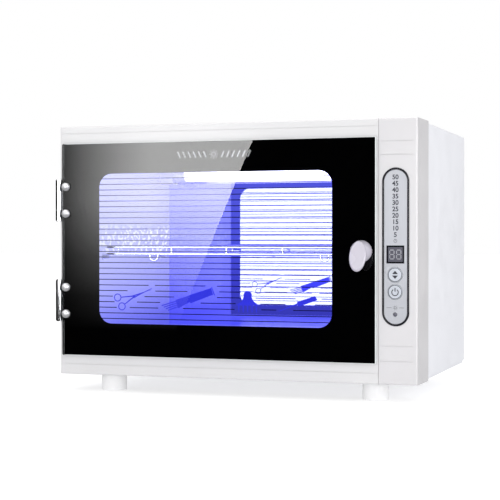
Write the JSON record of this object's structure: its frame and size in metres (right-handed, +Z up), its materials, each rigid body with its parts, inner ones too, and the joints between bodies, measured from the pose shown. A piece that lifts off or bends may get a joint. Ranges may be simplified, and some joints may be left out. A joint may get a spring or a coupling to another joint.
{
  "type": "uv sterilizer cabinet",
  "caption": "Benchtop ultraviolet tool-sterilizing cabinet with a hinged glass door, mirror-lined chamber, wire rack, lamp and a timer control column.",
  "frame": {"origin": "on the standing surface, under the centre of the object's bounding box", "axes": "+Z up, -Y out through the door towards the user, +X to the user's right as they face the door"},
  "size_m": [0.3822, 0.2842, 0.275],
  "materials": {
    "frame_plastic": "satin moulded white ABS",
    "body_paint": "white powder coat on folded steel",
    "chamber_mirror": "mirror-polished stainless sheet",
    "rack_chrome": "bright nickel-plated wire",
    "peg_steel": "turned stainless",
    "lamp_glass": "clear quartz glass, glowing when lit",
    "lamp_cap": "drawn aluminium",
    "contact_brass": "bright contact metal",
    "holder_plastic": "white lamp-holder thermoplastic",
    "reflector_aluminium": "bright rolled sheet",
    "door_glass": "tempered clear glass with a black printed border",
    "hinge_chrome": "polished chrome plate",
    "fastener_steel": "zinc-plated steel",
    "washer_rubber": "black rubber",
    "bumper_rubber": "translucent silicone",
    "handle_plastic": "glossy pale plastic",
    "magnet_grey": "nickel-plated magnet",
    "bezel_black": "gloss black moulding",
    "fascia_silver": "brushed silver overlay",
    "button_silver": "silver-painted cap",
    "display_smoke": "smoked window",
    "display_body": "grey-faced digit module",
    "led_lens": "tinted lens, unlit",
    "circuit_board": "green laminate",
    "switch_black": "black switch moulding",
    "plunger_plastic": "natural acetal",
    "ballast_case": "grey enamelled can",
    "component_mix": "moulded components",
    "terminal_plastic": "natural nylon",
    "inlet_plastic": "black mains-inlet moulding",
    "wire_insulation": "insulated hook-up wire",
    "foot_plastic": "moulded pale grey"
  },
  "bodies": {
    "cabinet": {"top_rail": "frame_plastic", "bottom_rail": "frame_plastic", "left_stile": "frame_plastic", "right_stile": "frame_plastic", "control_column": "frame_plastic", "outer_wrap": "body_paint", "base_panel": "body_paint", "rear_panel": "body_paint", "liner_floor": "chamber_mirror", "liner_ceiling": "chamber_mirror", "liner_back": "chamber_mirror", "liner_left": "chamber_mirror", "liner_right": "chamber_mirror", "rack_pegs": "peg_steel", "inlet_pins": "contact_brass", "board_standoffs": "contact_brass", "lamp_holder_left": "holder_plastic", "lamp_holder_right": "holder_plastic", "lamp_reflector": "reflector_aluminium", "hinge_frame_leaves": "hinge_chrome", "hinge_pins": "hinge_chrome", "hinge_leaf_screws": "fastener_steel", "foot_screws": "fastener_steel", "rear_screws": "fastener_steel", "board_screws": "fastener_steel", "ballast_screws": "fastener_steel", "magnet_catch": "magnet_grey", "control_bezel": "bezel_black", "control_fascia": "fascia_silver", "display_window": "display_smoke", "display_module": "display_body", "power_led": "led_lens", "control_board": "circuit_board", "power_board": "circuit_board", "door_switch": "switch_black", "button_switches": "switch_black", "ballast": "ballast_case", "power_board_parts": "component_mix", "terminal_block": "terminal_plastic", "mains_inlet": "inlet_plastic", "wiring": "wire_insulation", "feet": "foot_plastic"},
    "door": {"door_glass": "door_glass", "hinge_door_leaves": "hinge_chrome", "dome_screws": "hinge_chrome", "dome_washers": "washer_rubber", "handle": "handle_plastic", "handle_screw": "fastener_steel", "strike_plate": "fastener_steel", "door_bumpers": "bumper_rubber"},
    "select_button": {"select_button": "button_silver"},
    "power_button": {"power_button": "button_silver"},
    "rack": {"rack_frame": "rack_chrome", "rack_grid": "rack_chrome", "rack_hooks": "rack_chrome"},
    "lamp": {"lamp_tube": "lamp_glass", "lamp_caps": "lamp_cap", "lamp_pins": "contact_brass", "holder_rotors": "holder_plastic"},
    "door_switch_plunger": {"switch_plunger": "plunger_plastic"}
  },
  "joints": [
    {"name": "door_hinge", "type": "hinge", "parent": "cabinet", "child": "door", "pos_m": [-0.18785, -0.1195, 0.1466], "axis": [0, 0, -1], "range_deg": [0, 110]},
    {"name": "select_button_press", "type": "slide", "parent": "cabinet", "child": "select_button", "axis": [0, 1, 0], "range_m": [0, 0.0008], "stiffness_N_per_m": 1500, "springref_m": -0.0004},
    {"name": "power_button_press", "type": "slide", "parent": "cabinet", "child": "power_button", "axis": [0, 1, 0], "range_m": [0, 0.0008], "stiffness_N_per_m": 1500, "springref_m": -0.0004},
    {"name": "rack_lift", "type": "slide", "parent": "cabinet", "child": "rack", "axis": [0, 0, 1], "range_m": [0, 0.06]},
    {"name": "lamp_twist", "type": "hinge", "parent": "cabinet", "child": "lamp", "pos_m": [-0.02685, 0.0689, 0.233], "axis": [1, 0, 0], "range_deg": [0, 90]},
    {"name": "door_switch_press", "type": "slide", "parent": "cabinet", "child": "door_switch_plunger", "axis": [0, 1, 0], "range_m": [0, 0.0015], "stiffness_N_per_m": 400, "springref_m": -0.001}
  ]
}
